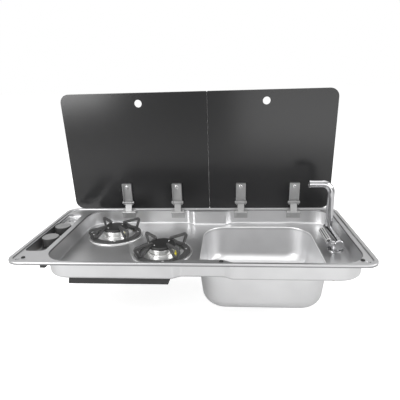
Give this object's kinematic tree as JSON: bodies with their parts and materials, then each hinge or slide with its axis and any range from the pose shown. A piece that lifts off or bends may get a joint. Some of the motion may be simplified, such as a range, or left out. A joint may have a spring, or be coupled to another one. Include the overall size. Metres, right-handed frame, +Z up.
{
  "type": "gas stove with sink",
  "caption": "Drop-in caravan hob and sink in one pressed steel top, with hinged smoked-glass lids, gas burners with looped pan supports, push-turn knobs and a folding tap.",
  "frame": {"origin": "centre of the four corner fixing holes on the worktop surface that the rim rests on", "axes": "+X along the unit from hob to sink, +Y towards the lids at the back, +Z up"},
  "size_m": [0.775, 0.365, 0.5046],
  "materials": {
    "steel_top": "satin brushed stainless steel",
    "black_rubber": "matte rubber",
    "smoked_glass": "dark smoke grey toughened glass",
    "hinge_steel": "satin steel",
    "bright_steel": "bright plated steel",
    "pan_steel": "polished steel",
    "burner_alloy": "polished cast alloy",
    "black_enamel": "satin black enamel",
    "grey_enamel": "matte charcoal enamel",
    "brass_probe": "plain brass",
    "white_ceramic": "glazed ceramic",
    "valve_brass": "machined brass",
    "pipe_alloy": "drawn tube",
    "knob_plastic": "matte black with a grey satin top",
    "black_paint": "satin black paint",
    "black_plastic": "matte",
    "tap_chrome": "polished chrome",
    "grip_plastic": "ribbed black plastic",
    "copper_tail": "copper tube",
    "grey_plastic": "matte moulded plastic"
  },
  "bodies": {
    "base": {"burner_box": "black_paint", "front_burner_cap": "black_enamel", "front_burner_crown": "burner_alloy", "front_burner_pan": "pan_steel", "front_gas_pipe": "pipe_alloy", "front_gas_valve": "valve_brass", "front_igniter": "white_ceramic", "front_pan_support": "grey_enamel", "front_support_screws": "bright_steel", "front_thermocouple": "brass_probe", "gas_rail": "valve_brass", "hinge_bracket_1": "hinge_steel", "hinge_bracket_2": "hinge_steel", "hinge_bracket_3": "hinge_steel", "hinge_bracket_4": "hinge_steel", "ignition_box": "black_plastic", "ignition_bracket": "bright_steel", "lid_bumpers": "black_rubber", "rear_burner_cap": "black_enamel", "rear_burner_crown": "burner_alloy", "rear_burner_pan": "pan_steel", "rear_gas_pipe": "pipe_alloy", "rear_gas_valve": "valve_brass", "rear_igniter": "white_ceramic", "rear_pan_support": "grey_enamel", "rear_support_screws": "bright_steel", "rear_thermocouple": "brass_probe", "rim_seal": "black_rubber", "sink_bowl": "steel_top", "tap_body": "tap_chrome", "tap_nut": "valve_brass", "tap_tails": "copper_tail", "waste_flange": "tap_chrome", "waste_gasket": "black_rubber", "waste_tail": "grey_plastic", "worktop_tray": "steel_top"},
    "left_lid": {"left_lid_glass": "smoked_glass", "hinge_strap_1": "hinge_steel", "hinge_screw_1": "bright_steel", "hinge_arm_1": "hinge_steel", "hinge_strap_2": "hinge_steel", "hinge_screw_2": "bright_steel", "hinge_arm_2": "hinge_steel"},
    "right_lid": {"right_lid_glass": "smoked_glass", "hinge_strap_3": "hinge_steel", "hinge_screw_3": "bright_steel", "hinge_arm_3": "hinge_steel", "hinge_strap_4": "hinge_steel", "hinge_screw_4": "bright_steel", "hinge_arm_4": "hinge_steel"},
    "rear_stem": {"rear_valve_stem": "valve_brass"},
    "rear_knob": {"rear_knob": "knob_plastic"},
    "front_stem": {"front_valve_stem": "valve_brass"},
    "front_knob": {"front_knob": "knob_plastic"},
    "tap_grip": {"tap_grip": "grip_plastic"},
    "tap_spout": {"tap_spout": "tap_chrome", "tap_outlet": "tap_chrome"}
  },
  "joints": [
    {"name": "left_lid_hinge", "type": "hinge", "parent": "base", "child": "left_lid", "pos_m": [-0.134, 0.1645, -0.003], "axis": [1, 0, 0], "range_deg": [0, 86]},
    {"name": "right_lid_hinge", "type": "hinge", "parent": "base", "child": "right_lid", "pos_m": [0.195, 0.1645, -0.003], "axis": [1, 0, 0], "range_deg": [0, 86]},
    {"name": "tap_fold", "type": "hinge", "parent": "base", "child": "tap_spout", "pos_m": [0.342, 0.0625, -0.014], "axis": [0, -1, 0], "range_deg": [0, 90]},
    {"name": "tap_turn", "type": "hinge", "parent": "base", "child": "tap_grip", "pos_m": [0.3222, 0.011, -0.011], "axis": [0, 1, 0], "range_deg": [0, 90]},
    {"name": "rear_push", "type": "slide", "parent": "base", "child": "rear_stem", "axis": [0, 0, -1], "range_m": [0, 0.003], "stiffness_N_per_m": 1500, "springref_m": -0.002},
    {"name": "rear_turn", "type": "hinge", "parent": "rear_stem", "child": "rear_knob", "pos_m": [-0.351, 0.04, -0.003], "axis": [0, 0, 1], "range_deg": [0, 240]},
    {"name": "front_push", "type": "slide", "parent": "base", "child": "front_stem", "axis": [0, 0, -1], "range_m": [0, 0.003], "stiffness_N_per_m": 1500, "springref_m": -0.002},
    {"name": "front_turn", "type": "hinge", "parent": "front_stem", "child": "front_knob", "pos_m": [-0.351, -0.034, -0.003], "axis": [0, 0, 1], "range_deg": [0, 240]}
  ],
  "couplings": [
    {"joint": "tap_fold", "follows": "right_lid_hinge", "ratio": 1.04}
  ]
}
